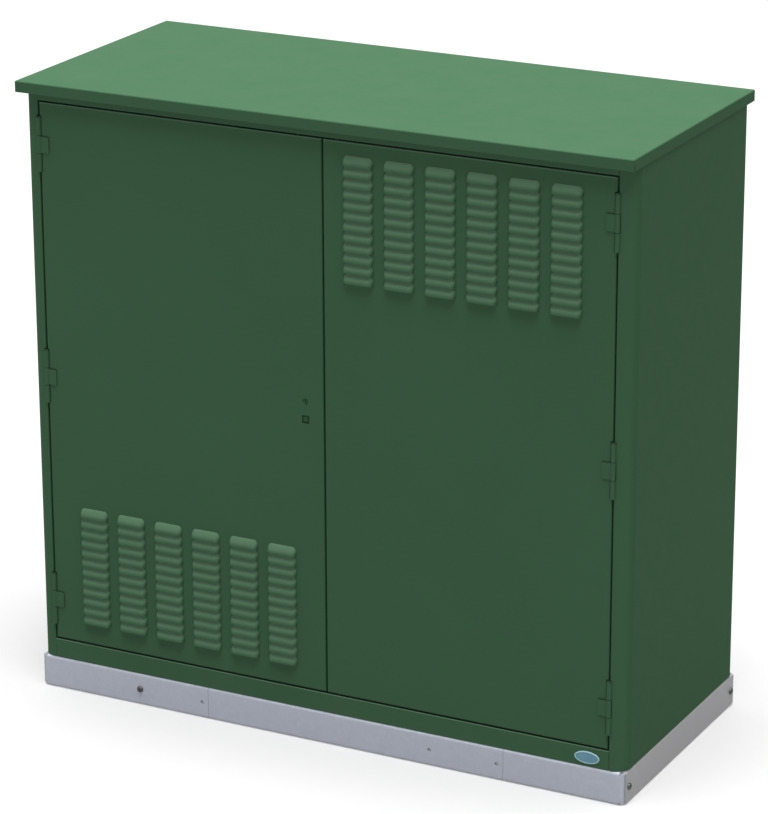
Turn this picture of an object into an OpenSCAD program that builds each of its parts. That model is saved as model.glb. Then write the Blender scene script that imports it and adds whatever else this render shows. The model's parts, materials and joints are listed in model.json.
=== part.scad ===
// Roadside utility cabinet: a folded sheet body on a bolted plinth, with two louvred doors.
// Millimetres. X runs along the front, Y from the face to the back, Z up.
// The origin is on the ground, under the middle of the whole cabinet.

/* [Body] */
// Width of the body over its sides
body_w = 1250; // [1240:10:1500]
// Depth of the body from its face to its back
body_d = 530; // [420:10:700]
// Height of the whole cabinet, plinth and roof included
overall_h = 1228; // [1100:4:1500]
// Thickness of the body, door and roof sheet
sheet = 2; // [1.5:0.5:2.5]
// Outer radius of the body's upright corners
corner_r = 28; // [24:1:30]
// Width of the face between each side and the door opening
stile_w = 32; // [31:1:50]
// Height of the face above the doors, up to the top of the sheet
header_face = 36; // [34:1:60]
// Height of the face below the doors
sill_face = 39; // [36:1:60]
// Depth of the reveal that the doors close into
reveal_d = 30; // [29:1:40]
// Width of the flange that the door seal is stuck to
rebate_w = 20; // [18:1:26]
// Flat width of the side panels' returns on the back
rear_return_w = 22; // [16:1:40]
// Width of the flanges along the top and bottom edges
edge_flange_w = 38; // [36:1:46]

/* [Roof] */
// How far the roof stands out in front of the doors
roof_front = 20; // [14:1:30]
// How far the roof stands out behind the back
roof_back = 5; // [4:1:12]
// How far the roof stands out on each side
roof_side = 3.5; // [3.5:0.5:8]
// Depth of the roof's turned-down edge
roof_flange = 22; // [16:1:30]
// Outer radius of the roof's bends
roof_bend_r = 3; // [2.5:0.1:3]

/* [Doors] */
// Clear gap around and between the doors
door_gap = 3; // [2.5:0.5:4]
// Depth of the doors' folded edges
door_depth = 24; // [22:1:26]
// Outer radius of the doors' folded edges
door_bend_r = 3; // [2.5:0.5:4]
// How far right of the middle the doors meet
meeting_x = 9.7; // [0:0.1:15]

/* [Louvres] */
// Width of one louvre hood
louvre_w = 61; // [50:1:66]
// Height of one louvre hood
louvre_h = 18.5; // [14:0.5:19]
// How far a louvre hood stands out at its lower edge
louvre_out = 9; // [6:0.5:10]
// Thickness of the stretched sheet in a hood
louvre_t = 1.5; // [1.2:0.1:2]
// Spacing of the louvre columns
louvre_pitch_x = 82.5; // [72:0.5:84]
// Spacing of the louvre rows
louvre_pitch_z = 20; // [20:0.5:22]
// Number of louvre columns on each door
louvre_cols = 6; // [3:1:6]
// Number of louvre rows on each door
louvre_rows = 12; // [4:1:14]
// Each door's hinge edge to its first louvre
louvre_inset = 64.25; // [50:0.25:70]
// Top of the right door down to its first louvre
louvre_drop = 25; // [20:1:60]
// Bottom of the left door up to its last louvre
louvre_rise = 43.5; // [30:0.5:60]

/* [Hinges] */
// Outside diameter of the hinge barrels
barrel_d = 10; // [9:0.5:12]
// Diameter of the hinge pins
pin_d = 5; // [4:0.5:6]
// Length of one hinge with its three knuckles
hinge_l = 105; // [80:1:120]
// Each end of a door to the middle of the nearest hinge
hinge_inset = 82; // [70:1:200]
// Size of the hinge tab on the door's face, across and up
hinge_tab = [21.5, 31]; // [18:0.5:32]
// Thickness of the hinge leaves
leaf_t = 2.5; // [2:0.5:3]

/* [Lock] */
// Distance of the lock's line from the left door's free edge
lock_inset = 37.2; // [36:0.1:44]
// Height of the square drive above the bottom of the doors
lock_rise = 540; // [480:5:600]
// Distance of the key barrel above the square drive
key_rise = 35; // [34:1:40]
// Side of the square hole in front of the drive
drive_hole = 15.5; // [14:0.5:18]
// Side of the square drive
drive_side = 8; // [6:1:10]
// Diameter of the rods and bolts
rod_d = 10; // [8:1:10]
// Radius of the pins that drive the rods
crank_r = 20; // [20:1:22]
// Diameter of the pins that drive the rods
crank_pin_d = 6; // [5:1:6]
// How far the bolts of the right door travel
bolt_travel = 25; // [20:1:28]
// Distance of those bolts from the right door's free edge
bolt_inset = 23; // [20:1:26]

/* [Plinth] */
// Height of the plinth
plinth_h = 65; // [60:1:120]
// Thickness of the plinth sheet
plinth_t = 3; // [2.5:0.5:4]
// Outer radius of the plinth's bends
plinth_bend_r = 6; // [5:0.5:8]
// Width of the plinth's flanges
plinth_flange = 33.5; // [32:0.5:40]
// How far the plinth stands out in front of and behind the body
plinth_proud = 1.5; // [0.5:0.5:3]
// Length of the side rails' ends that have no flange
plinth_relief = 36; // [35:1:45]
// Places of the two joints along the front, from the cabinet's middle
plinth_joints = [-249, 380.6]; // [-400:0.1:400]
// Distances of the fixing holes from each joint
joint_holes = [13, 152.5]; // [12:0.5:160]
// Distance between foundation holes along the front
foundation_x = 1120; // [900:10:1120]

/* [Inside] */
// Width of the mounting board
board_w = 1000; // [600:10:1060]
// Thickness of the mounting board
board_t = 18; // [12:1:25]
// Distance between the middles of the two mounting rails
rail_pitch = 760; // [400:10:800]
// Depth of the mounting rails
rail_d = 25; // [20:1:41]

/* [Hidden] */
$fn = 48;
running = 0.05;      // radial clearance of a shaft in its bearing
weld_gap = 0.1;      // radial clearance around a barrel that is welded in
swing = 1;           // clearance around a knuckle that turns
seal_gap = 0.3;      // clearance between the closed doors and their seal
edge_r = sheet * 0.9; // outer radius of the folds beside the door gaps

body_top = overall_h - sheet;
side_x = body_w / 2;
open_x = side_x - stile_w;
open_bottom = plinth_h + sill_face;
open_top = body_top - header_face;
overall_d = roof_front + body_d + roof_back;
face_y = roof_front - overall_d / 2;

door_bottom = open_bottom + door_gap;
door_top = open_top - door_gap;
door_h = door_top - door_bottom;
door_edge_x = open_x - door_gap;
left_free_x = meeting_x - door_gap / 2;
right_free_x = meeting_x + door_gap / 2;

barrel_x = open_x - door_gap / 2;
barrel_r = barrel_d / 2;
knuckle_l = hinge_l / 3;
knuckle_gap = 0.4;
hinge_mid_z = (door_bottom + door_top) / 2;
hinge_z = [door_bottom + hinge_inset, hinge_mid_z, door_top - hinge_inset];
pin_head_d = barrel_d - 2;
pin_head_t = 2;
leaf_short = 6;

lock_x = left_free_x - lock_inset;
lock_z = door_bottom + lock_rise;
key_z = lock_z + key_rise;
crank_angle = 45;
rod_off_x = crank_r - 3;
rod_y = 14;
rod_drop = crank_r * sin(crank_angle);
rod_end_gap = 1.3;
rod_tip = 1;
guide_half = [9, 8];
guide_lip = 3;
guide_from = [150, 90];
rod_hole_d = rod_d + 1;
keep_hole_d = rod_d + 3;
rod_top_x = lock_x - rod_off_x;
rod_bottom_x = lock_x + rod_off_x;
bolt_x = right_free_x + bolt_inset;

// Lock case, spindle and key barrel, by distance behind the doors' face
case_y = [sheet, 27];
case_t = 2;
case_x = [-31, 31];
case_z = [-35, 59];
spindle_head_d = 20;
spindle_head_y = [sheet + 0.2, sheet + 6];
drive_y = 0.5;
spindle_d = 14;
spindle_tail_d = 8;
crank_y = [20, 24];
crank_pin_y = 14;
rod_plate_y = [14.5, 19.5];
rod_plate_x = [8, 27];
rod_plate_half_h = 10;
rod_slot_half_h = crank_pin_d / 2 + 0.8;
rod_slot_x = [crank_r * cos(crank_angle) - crank_pin_d / 2 - 0.4, crank_r + crank_pin_d / 2 + 0.6];
key_barrel_d = 18;
key_plug_d = 12;
key_hole_d = key_plug_d + 0.6;
key_plug_y = [0.6, 27.5];
key_slot = [1.6, 12, 8];
tongue_l = 55;
tongue_w = 14;
tongue_t = 3;
tongue_screw_d = 9;
tongue_screw_t = 3.5;

// Bolts of the right door, measured from the door's top or bottom edge
bolt_l = 200;
bracket_l = 120;
bracket_from = 56;
bracket_t = 4;
bracket_half_w = rod_d / 2 + 7;
bracket_lip = 5;
knob_d = 8;
knob_l = 28;
knob_grip = [8, 4];
knob_from = bracket_from + bracket_t + knob_d / 2 + bolt_travel + 1;

seal_w = 14;
seal_y = [door_depth + seal_gap, reveal_d];

hood_r = (louvre_h * louvre_h + louvre_out * louvre_out) / (2 * louvre_out);
hood_axis_y = hood_r - louvre_out;
hood_angle = asin(louvre_h / hood_r);
field_w = (louvre_cols - 1) * louvre_pitch_x + louvre_w;
field_h = (louvre_rows - 1) * louvre_pitch_z;
louvre_field_x = door_edge_x - louvre_inset - field_w / 2;
left_field_z = door_bottom + louvre_rise;
right_field_z = door_top - louvre_drop - louvre_h - field_h;

plinth_side_x = side_x + 1;
plinth_front_x = plinth_side_x - plinth_t;
plinth_y = [-plinth_proud, body_d + plinth_proud];
corner_tab_l = plinth_relief - 2;
corner_tab_z = [plinth_t, plinth_h - plinth_t];
corner_bend_r = 8;
corner_notch = 8;
channel_stop = 8;
joint_slit = 0.6;
splice_lap = [joint_holes[1] + 18, 60];
splice_margin = 10;
fixing_d = 8;
fixing_hole_d = fixing_d + 0.4;
fixing_head_d = 13;
fixing_head_t = 4;
fixing_z = plinth_h / 2;
corner_fixing_y = 20;
foundation_hole_d = 14;
foundation_y = [16, body_d - 16];

base_bolt_d = 10;
base_bolt_hole_d = 11;
base_bolt_out = 14;
base_bolt_x = side_x - 21;
base_bolt_y = [120, body_d - 120];
roof_slit = 0.8;
roof_slant = 5;
stud_d = 8;
stud_l = 24;

floor_gap = 8;
floor_z = plinth_h + sheet;
floor_y = [reveal_d + sheet + 2, body_d - sheet - floor_gap];
floor_x = side_x - sheet - floor_gap;
gland_open = [800, 260];
gland_plate_t = 3;
gland_lap = 30;
gland_y = (floor_y[0] + floor_y[1]) / 2;
gland_rows = 2;
gland_cols = 6;
gland_pitch = [125, 120];
gland_hole_d = 52;
gland_z = floor_z + sheet;
gland_half = [gland_open[0] / 2 + gland_lap, gland_open[1] / 2 + gland_lap];
grommet_wall = 5;
grommet_t = 3;
screw_d = 5;
screw_head_d = 9;
screw_head_t = 3;

rear_in_y = body_d - sheet;
back_half_w = side_x - corner_r - 2;
back_flange_inset = 30;
rivet_rows = 6;
rivet_end = 40;
rivet_d = [10, 6];
rivet_t = 2;
back_y = rear_in_y - sheet;
rail_w = 40;
rail_t = 2;
rail_lip = 10;
rail_z = [open_bottom + 10, open_top - 20];
board_y = back_y - rail_d;
board_z = [open_bottom + 46, open_top - 60];
board_bolt_d = 8;
board_bolt_z = [board_z[0] + 60, (board_z[0] + board_z[1]) / 2, board_z[1] - 60];
board_nut = [rail_w - 2 * rail_t - 2, 6, 20];

earth_bar = [220, 5, 20];
earth_bar_z = board_z[0] + 60;
earth_post_l = 20;
earth_post_d = 14;
earth_post_inset = 12;
earth_bar_y = board_y - board_t - earth_post_l - earth_bar[1];
earth_head = [12, 4];
earth_holes = 8;
earth_pitch = 20;

stiffener_w = 70;
stiffener_d = 18;
stiffener_t = 1.5;
stiffener_end = 14;
stiffener_x = (door_edge_x + right_free_x) / 2 + 20;
pocket = [210, 36, 210];
pocket_t = 2;
pocket_dip = 50;
pocket_x = -stiffener_x + stiffener_w / 2 + 12;
pocket_z = lock_z + 130;

badge_size = [50, 24, 1.6];
badge_x = side_x - 75;
badge_z = plinth_h + 18;

green = [0.21, 0.33, 0.23];
roof_green = [0.25, 0.38, 0.27];
bare_metal = [0.62, 0.63, 0.66];
zinc = [0.75, 0.74, 0.68];
rubber = [0.08, 0.08, 0.08];
brass = [0.78, 0.62, 0.3];
ply = [0.75, 0.62, 0.44];
nylon = [0.88, 0.87, 0.82];

// ---------- shared shapes ----------

// Sub-parts are drawn with Y measured back from the doors' face
module at_face() {
  translate([0, face_y, 0]) children();
}

module both_sides() {
  children();
  mirror([1, 0, 0]) children();
}

module rounded_rect(w, h, r) {
  square([w - 2 * r, h], center = true);
  square([w, h - 2 * r], center = true);
  for (x = [-1, 1], y = [-1, 1])
    translate([x * (w / 2 - r), y * (h / 2 - r)]) circle(r = r);
}

// Box from one corner to the opposite one
module box(low, high) {
  translate(low) cube(high - low);
}

// Upright cylinder between two heights
module post(x, y, z, d) {
  translate([x, y, z[0]]) cylinder(d = d, h = z[1] - z[0]);
}

// Cylinder along Y between two distances behind the face
module bar_y(x, z, y, d) {
  translate([x, y[0], z]) rotate([-90, 0, 0]) cylinder(d = d, h = y[1] - y[0]);
}

// Cylinder along X
module bar_x(x, y, z, d) {
  translate([x[0], y, z]) rotate([0, 90, 0]) cylinder(d = d, h = x[1] - x[0]);
}

// Solid block behind y = 0 whose front edges are rounded
module slab(w, h, d, r) {
  intersection() {
    translate([0, d / 2 + r, -h / 2]) linear_extrude(h) rounded_rect(w, d + 2 * r, r);
    translate([-w / 2, d / 2 + r, 0]) rotate([90, 0, 90])
      linear_extrude(w) rounded_rect(d + 2 * r, h, r);
    box([-w / 2, 0, -h / 2], [w / 2, d, h / 2]);
  }
}

// Folded tray: a sheet behind y = 0 with its four edges turned back
module tray(w, h, d, t, r) {
  difference() {
    slab(w, h, d, r);
    translate([0, t, 0]) slab(w - 2 * t, h - 2 * t, d, r - t);
  }
}

module hex_bar(across, h) {
  cylinder(d = across / cos(30), h = h, $fn = 6);
}

// Bolt with a flanged hexagon head, its head up and its seat at z = 0
module flange_bolt(d, l) {
  translate([0, 0, -l]) cylinder(d = d, h = l + d / 4);
  cylinder(d = 2 * d, h = d / 5);
  hex_bar(1.5 * d, 0.75 * d);
}

// Flanged nut under z = 0
module flange_nut(d) {
  difference() {
    union() {
      translate([0, 0, -d / 5]) cylinder(d = 2 * d, h = d / 5);
      translate([0, 0, -0.85 * d]) hex_bar(1.5 * d, 0.85 * d);
    }
    translate([0, 0, -d]) cylinder(d = d + 2 * running, h = 2 * d);
  }
}

// Low round-headed screw with a socket, its seat at z = 0
module button_screw(d, l, head_d, head_t) {
  difference() {
    union() {
      translate([0, 0, -l]) cylinder(d = d, h = l + head_t / 2);
      cylinder(d1 = head_d, d2 = head_d - head_t, h = head_t);
    }
    translate([0, 0, head_t / 2]) hex_bar(d / 2, head_t);
  }
}

// ---------- body ----------

// Plan of the folded side panel on the right, from the door stile to the back return
module side_section() {
  difference() {
    union() {
      intersection() {
        translate([0, body_d / 2]) difference() {
          rounded_rect(body_w, body_d, corner_r);
          rounded_rect(body_w - 2 * sheet, body_d - 2 * sheet, corner_r - sheet);
        }
        union() {
          translate([open_x, -1]) square([stile_w + 1, body_d / 2]);
          translate([side_x - corner_r - rear_return_w, corner_r])
            square([corner_r + rear_return_w + 1, body_d]);
        }
      }
      translate([open_x, 0]) square([sheet, reveal_d + sheet]);
    }
    translate([open_x, 0]) edge_nick();
  }
}

// What is cut from a square corner at the origin to round the edge of the door opening
module edge_nick() {
  difference() {
    translate([-1, -1]) square([edge_r + 1, edge_r + 1]);
    translate([edge_r, edge_r]) circle(r = edge_r);
  }
}

module side_flange(z) {
  difference() {
    box([side_x - edge_flange_w, edge_flange_w + 4, z],
      [side_x - sheet / 2, body_d - edge_flange_w - 4, z + sheet]);
    for (y = base_bolt_y) post(base_bolt_x, y, [z - 1, z + sheet + 1], base_bolt_hole_d);
  }
}

module side_panel() {
  difference() {
    union() {
      translate([0, 0, plinth_h]) linear_extrude(body_top - plinth_h) side_section();
      box([open_x - rebate_w, reveal_d, open_bottom], [open_x + sheet, reveal_d + sheet, open_top]);
      side_flange(plinth_h);
      side_flange(body_top - sheet);
    }
    for (z = hinge_z) {
      post(barrel_x, 0, [z - hinge_l / 2 - weld_gap, z + hinge_l / 2 + pin_head_t + weld_gap],
        barrel_d + 2 * weld_gap);
      box([open_x - 1, -1, z - knuckle_l / 2],
        [barrel_x + barrel_r + swing, barrel_r + swing, z + knuckle_l / 2]);
    }
  }
}

module side_panel_right() {
  color(green) at_face() side_panel();
}

module side_panel_left() {
  color(green) mirror([1, 0, 0]) at_face() side_panel();
}

module back_panel() {
  color(green) at_face() {
    box([-back_half_w, back_y, plinth_h], [back_half_w, rear_in_y, body_top]);
    for (z = [plinth_h, body_top - sheet])
      box([back_flange_inset - back_half_w, back_y - edge_flange_w, z],
        [back_half_w - back_flange_inset, back_y + sheet / 2, z + sheet]);
  }
}

module back_rivets() {
  x = side_x - corner_r - rear_return_w / 2;
  first = plinth_h + rivet_end;
  pitch = (body_top - rivet_end - first) / (rivet_rows - 1);
  color(green) at_face() both_sides()
    for (i = [0 : rivet_rows - 1]) translate([x, body_d, first + i * pitch])
      rotate([-90, 0, 0]) cylinder(d1 = rivet_d[0], d2 = rivet_d[1], h = rivet_t);
}

// Rail across the opening: z is its edge beside the doors, up is 1 over them and -1 under them
module cross_rail(z, up, far_z, holes) {
  mirror([0, 0, up > 0 ? 0 : 1]) {
    near = up * z;
    far = up * far_z;
    difference() {
      union() {
        box([-open_x, 0, near], [open_x, sheet, far]);
        box([-open_x, 0, near], [open_x, reveal_d + sheet, near + sheet]);
        box([-open_x, 0, far - sheet], [open_x, edge_flange_w, far]);
        box([rebate_w - open_x, reveal_d, near - rebate_w],
          [open_x - rebate_w, reveal_d + sheet, near + sheet]);
      }
      translate([-open_x - 1, 0, near]) rotate([90, 0, 90]) linear_extrude(2 * open_x + 2) edge_nick();
      for (x = holes) post(x, rod_y, [near - 1, near + sheet + 1], keep_hole_d);
    }
  }
}

module header_rail() {
  color(green) at_face() cross_rail(open_top, 1, body_top, [rod_top_x, bolt_x]);
}

module sill_rail() {
  color(green) at_face() cross_rail(open_bottom, -1, plinth_h, [rod_bottom_x, bolt_x]);
}

module badge() {
  color([0.25, 0.42, 0.6]) at_face()
    translate([badge_x, 0, badge_z]) rotate([90, 0, 0])
      linear_extrude(badge_size[2]) scale([badge_size[0] / badge_size[1], 1]) circle(d = badge_size[1]);
}

module floor_plate() {
  color(green) at_face() difference() {
    box([-floor_x, floor_y[0], floor_z], [floor_x, floor_y[1], floor_z + sheet]);
    translate([0, gland_y, floor_z]) cube([gland_open[0], gland_open[1], 4 * sheet], center = true);
    for (x = [-base_bolt_x, base_bolt_x], y = base_bolt_y)
      post(x, y, [floor_z - 1, floor_z + sheet + 1], base_bolt_hole_d);
  }
}

// ---------- roof ----------

module roof() {
  w = body_w + 2 * roof_side;
  color(roof_green) difference() {
    translate([0, 0, overall_h]) rotate([-90, 0, 0]) tray(w, overall_d, roof_flange, sheet, roof_bend_r);
    // open corners: the side edges end just behind the front and back edges, with a slant
    for (sx = [-1, 1], sy = [-1, 1]) scale([sx, sy, 1])
      translate([w / 2 - sheet - 0.5, 0, overall_h - roof_flange - 1]) rotate([90, 0, 90])
        linear_extrude(sheet + 1) polygon([
          [overall_d / 2 - sheet, 0], [overall_d / 2 - sheet, roof_flange - roof_bend_r],
          [overall_d / 2 - sheet - roof_slit, roof_flange - roof_bend_r],
          [overall_d / 2 - sheet - roof_slant, 0]
        ]);
  }
}

module roof_studs() {
  color(zinc) at_face()
    for (x = [-base_bolt_x, base_bolt_x], y = base_bolt_y) post(x, y, [body_top - stud_l, body_top], stud_d);
}

module roof_nuts() {
  color(zinc) at_face()
    for (x = [-base_bolt_x, base_bolt_x], y = base_bolt_y)
      translate([x, y, body_top - sheet]) flange_nut(stud_d);
}

// ---------- plinth ----------

// Channel section with its web in front; across is measured back from the web's face
module channel_section() {
  intersection() {
    translate([plinth_flange, plinth_h / 2]) difference() {
      rounded_rect(2 * plinth_flange, plinth_h, plinth_bend_r);
      rounded_rect(2 * (plinth_flange - plinth_t), plinth_h - 2 * plinth_t, plinth_bend_r - plinth_t);
    }
    square([plinth_flange, plinth_h]);
  }
}

module channel(x) {
  translate([x[0], plinth_y[0], 0]) rotate([90, 0, 90]) linear_extrude(x[1] - x[0]) channel_section();
}

// End of a front or rear rail, bent round to a tab behind the side rail
module corner_tab() {
  turn = plinth_front_x - corner_bend_r - 1;
  difference() {
    translate([0, 0, corner_tab_z[0]]) linear_extrude(corner_tab_z[1] - corner_tab_z[0]) intersection() {
      translate([0, plinth_y[0] + body_d / 2]) difference() {
        rounded_rect(2 * plinth_front_x, body_d, corner_bend_r);
        rounded_rect(2 * (plinth_front_x - plinth_t), body_d - 2 * plinth_t, corner_bend_r - plinth_t);
      }
      translate([turn, plinth_y[0] - 1]) square([corner_bend_r + 2, corner_tab_l + 1]);
    }
    // relief at the top and bottom of the bend
    for (z = corner_tab_z) translate([plinth_front_x - 5, plinth_y[0] - 1, z])
      rotate([0, 45, 0]) cube([corner_notch, 3 + plinth_t, corner_notch], center = true);
    bar_x([plinth_front_x - 10, plinth_front_x + 1], corner_fixing_y, fixing_z, fixing_hole_d);
  }
}

module front_rail(x, drill) {
  stops = [for (v = x) abs(v) > plinth_front_x - 1 ? sign(v) * (plinth_front_x - channel_stop) : v];
  difference() {
    union() {
      channel(stops);
      if (x[1] > plinth_front_x - 1) corner_tab();
      if (x[0] < 1 - plinth_front_x) mirror([1, 0, 0]) corner_tab();
    }
    for (h = drill) bar_y(h, fixing_z, [plinth_y[0] - 1, plinth_y[0] + plinth_t + 1], fixing_hole_d);
    for (s = [-1, 1]) post(s * foundation_x / 2, foundation_y[0], [-1, plinth_t + 1], foundation_hole_d);
  }
}

module plinth_front_left() {
  color(bare_metal) at_face()
    front_rail([-plinth_front_x, plinth_joints[0] - joint_slit / 2],
      [for (h = joint_holes) plinth_joints[0] - h]);
}

module plinth_front_middle() {
  color(bare_metal) at_face()
    front_rail([plinth_joints[0] + joint_slit / 2, plinth_joints[1] - joint_slit / 2],
      [for (h = joint_holes) plinth_joints[1] - h]);
}

module plinth_front_right() {
  color(bare_metal) at_face() front_rail([plinth_joints[1] + joint_slit / 2, plinth_front_x], []);
}

module plinth_rear() {
  color(bare_metal) at_face()
    translate([0, body_d, 0]) mirror([0, 1, 0]) front_rail([-plinth_front_x, plinth_front_x], []);
}

module side_rail() {
  web_y = [plinth_y[0] + corner_bend_r, plinth_y[1] - corner_bend_r];
  flange_y = [plinth_relief, body_d - plinth_relief];
  difference() {
    union() {
      translate([plinth_side_x, flange_y[1], 0]) mirror([1, 0, 0]) rotate([90, 0, 0])
        linear_extrude(flange_y[1] - flange_y[0]) channel_section();
      box([plinth_side_x - plinth_t, web_y[0], plinth_t], [plinth_side_x, web_y[1], plinth_h - plinth_t]);
    }
    for (y = base_bolt_y) post(base_bolt_x, y, [plinth_h - plinth_t - 1, plinth_h + 1], base_bolt_hole_d);
    for (y = [corner_fixing_y, body_d - corner_fixing_y])
      bar_x([plinth_side_x - plinth_t - 1, plinth_side_x + 1], y, fixing_z, fixing_hole_d);
  }
}

module plinth_side_right() {
  color(bare_metal) at_face() side_rail();
}

module plinth_side_left() {
  color(bare_metal) mirror([1, 0, 0]) at_face() side_rail();
}

module plinth_splices() {
  y = plinth_y[0] + plinth_t;
  color(bare_metal) at_face() for (j = plinth_joints) difference() {
    box([j - splice_lap[0], y, splice_margin], [j + splice_lap[1], y + plinth_t, plinth_h - splice_margin]);
    for (h = joint_holes) bar_y(j - h, fixing_z, [y - 1, y + plinth_t + 1], fixing_hole_d);
  }
}

// One screw holds the first joint's far end, and one holds each corner
module plinth_screws() {
  color(zinc) at_face() {
    translate([plinth_joints[0] - joint_holes[1], plinth_y[0], fixing_z]) rotate([90, 0, 0])
      button_screw(fixing_d, 3 * plinth_t, fixing_head_d, fixing_head_t);
    both_sides() for (y = [corner_fixing_y, body_d - corner_fixing_y])
      translate([plinth_side_x, y, fixing_z]) rotate([0, 90, 0])
        button_screw(fixing_d, 3 * plinth_t, fixing_head_d, fixing_head_t);
  }
}

module base_bolts() {
  color(zinc) at_face()
    for (x = [-base_bolt_x, base_bolt_x], y = base_bolt_y)
      translate([x, y, floor_z + sheet]) flange_bolt(base_bolt_d, 2 * sheet + plinth_t + base_bolt_out);
}

module base_nuts() {
  color(zinc) at_face()
    for (x = [-base_bolt_x, base_bolt_x], y = base_bolt_y)
      translate([x, y, plinth_h - plinth_t]) flange_nut(base_bolt_d);
}

// ---------- hinges ----------

module knuckle(z) {
  post(barrel_x, 0, z, barrel_d);
}

module pin_bore(z) {
  post(barrel_x, 0, [z - hinge_l, z + hinge_l], pin_d + 2 * running);
}

// Outer knuckles, each with a leaf welded inside the stile
module frame_hinges() {
  leaf_x = open_x + sheet;
  for (z = hinge_z, s = [-1, 1]) difference() {
    mid = z + s * knuckle_l;
    ends = [mid - knuckle_l / 2 + (s > 0 ? knuckle_gap : 0), mid + knuckle_l / 2 - (s < 0 ? knuckle_gap : 0)];
    union() {
      knuckle(ends);
      box([leaf_x, sheet + weld_gap, ends[0]], [leaf_x + leaf_t, reveal_d - leaf_short, ends[1]]);
    }
    pin_bore(z);
  }
}

module frame_hinges_right() {
  color(green) at_face() frame_hinges();
}

module frame_hinges_left() {
  color(green) mirror([1, 0, 0]) at_face() frame_hinges();
}

// Middle knuckles, each with a tab welded on the door's face
module hinge_leaves() {
  for (z = hinge_z) difference() {
    union() {
      knuckle([z - knuckle_l / 2 + knuckle_gap, z + knuckle_l / 2 - knuckle_gap]);
      box([barrel_x - hinge_tab[0], -leaf_t, z - hinge_tab[1] / 2], [barrel_x, 0, z + hinge_tab[1] / 2]);
    }
    pin_bore(z);
  }
}

module hinge_leaves_right() {
  color(green) at_face() hinge_leaves();
}

module hinge_leaves_left() {
  color(green) mirror([1, 0, 0]) at_face() hinge_leaves();
}

module hinge_pins() {
  for (z = hinge_z) {
    post(barrel_x, 0, [z - hinge_l / 2, z + hinge_l / 2], pin_d);
    post(barrel_x, 0, [z + hinge_l / 2, z + hinge_l / 2 + pin_head_t], pin_head_d);
  }
}

module hinge_pins_right() {
  color(zinc) at_face() hinge_pins();
}

module hinge_pins_left() {
  color(zinc) mirror([1, 0, 0]) at_face() hinge_pins();
}

// ---------- doors ----------

// Outline of a hood through its lower edge: distance from its axis, then along the louvre
module hood_profile(w, r, out) {
  square_from = r - out - 3;
  translate([square_from, -w / 2 + out]) square([r - square_from, w - 2 * out]);
  translate([square_from, -w / 2]) square([3, w]);
  intersection() {
    for (s = [-1, 1]) translate([r - out, s * (w / 2 - out)]) circle(r = out);
    translate([square_from, -w]) square([2 * out, 2 * w]);
  }
}

// Pressed hood, open underneath; inset draws the hollow inside it
module hood(inset) {
  intersection() {
    translate([0, hood_axis_y, 0]) rotate([0, -90, 0]) rotate([0, 0, -90])
      rotate_extrude(angle = hood_angle)
        hood_profile(louvre_w - 2 * inset, hood_r - inset, louvre_out - inset);
    box([-louvre_w, -2 * louvre_out, -1], [louvre_w, inset > 0 ? 4 * sheet : sheet / 2, 2 * louvre_h]);
  }
}

module louvre_field(x, z, inset) {
  for (i = [0 : louvre_cols - 1], j = [0 : louvre_rows - 1])
    translate([x + (i - (louvre_cols - 1) / 2) * louvre_pitch_x, 0, z + j * louvre_pitch_z]) hood(inset);
}

// Door between two edges, with room for the hinge barrels on the edge that hinge_side names
module door_pan(x, hinge_side, field_x, field_z) {
  difference() {
    union() {
      translate([(x[0] + x[1]) / 2, 0, (door_bottom + door_top) / 2])
        tray(x[1] - x[0], door_h, door_depth, sheet, door_bend_r);
      louvre_field(field_x, field_z, 0);
    }
    louvre_field(field_x, field_z, louvre_t);
    scale([hinge_side, 1, 1]) for (z = hinge_z)
      box([barrel_x - barrel_r - swing, -1, z - hinge_l / 2 - swing],
        [barrel_x + barrel_r, barrel_r + swing, z + hinge_l / 2 + swing + pin_head_t]);
  }
}

module rod_hole(x, z) {
  post(x, rod_y, [z - 2 * sheet, z + 2 * sheet], rod_hole_d);
}

module door_left() {
  color(green) at_face() difference() {
    door_pan([-door_edge_x, left_free_x], -1, -louvre_field_x, left_field_z);
    translate([lock_x, 0, lock_z]) cube([drive_hole, 4 * sheet, drive_hole], center = true);
    bar_y(lock_x, key_z, [-1, sheet + 1], key_hole_d);
    rod_hole(rod_top_x, door_top);
    rod_hole(rod_bottom_x, door_bottom);
  }
}

module door_right() {
  color(green) at_face() difference() {
    door_pan([right_free_x, door_edge_x], 1, louvre_field_x, right_field_z);
    rod_hole(bolt_x, door_top);
    rod_hole(bolt_x, door_bottom);
  }
}

// Hat section welded up the inside of a door
module stiffener(x, z) {
  translate([x, sheet, z[0]]) linear_extrude(z[1] - z[0]) {
    for (s = [-1, 1]) {
      translate([s * stiffener_w * 3 / 8 - stiffener_w / 8, 0]) square([stiffener_w / 4, stiffener_t]);
      translate([s * stiffener_w / 4 - stiffener_t / 2, 0]) square([stiffener_t, stiffener_d]);
    }
    translate([-stiffener_w / 4, stiffener_d - stiffener_t]) square([stiffener_w / 2, stiffener_t]);
  }
}

module door_stiffener_left() {
  color(green) at_face()
    stiffener(-stiffener_x, [left_field_z + field_h + louvre_h + stiffener_end, door_top - stiffener_end]);
}

module door_stiffener_right() {
  color(green) at_face() stiffener(stiffener_x, [door_bottom + stiffener_end, right_field_z - stiffener_end]);
}

module document_pocket() {
  color([0.3, 0.32, 0.33]) at_face() translate([pocket_x, sheet, pocket_z]) difference() {
    cube(pocket);
    translate([pocket_t, pocket_t, pocket_t])
      cube([pocket[0] - 2 * pocket_t, pocket[1] - 2 * pocket_t, pocket[2]]);
    // the side away from the door is cut lower, so papers can be gripped
    translate([-1, pocket_t + 1, pocket[2] - pocket_dip]) cube([pocket[0] + 2, pocket[1], pocket_dip + 1]);
  }
}

// ---------- lock on the left door ----------

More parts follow.
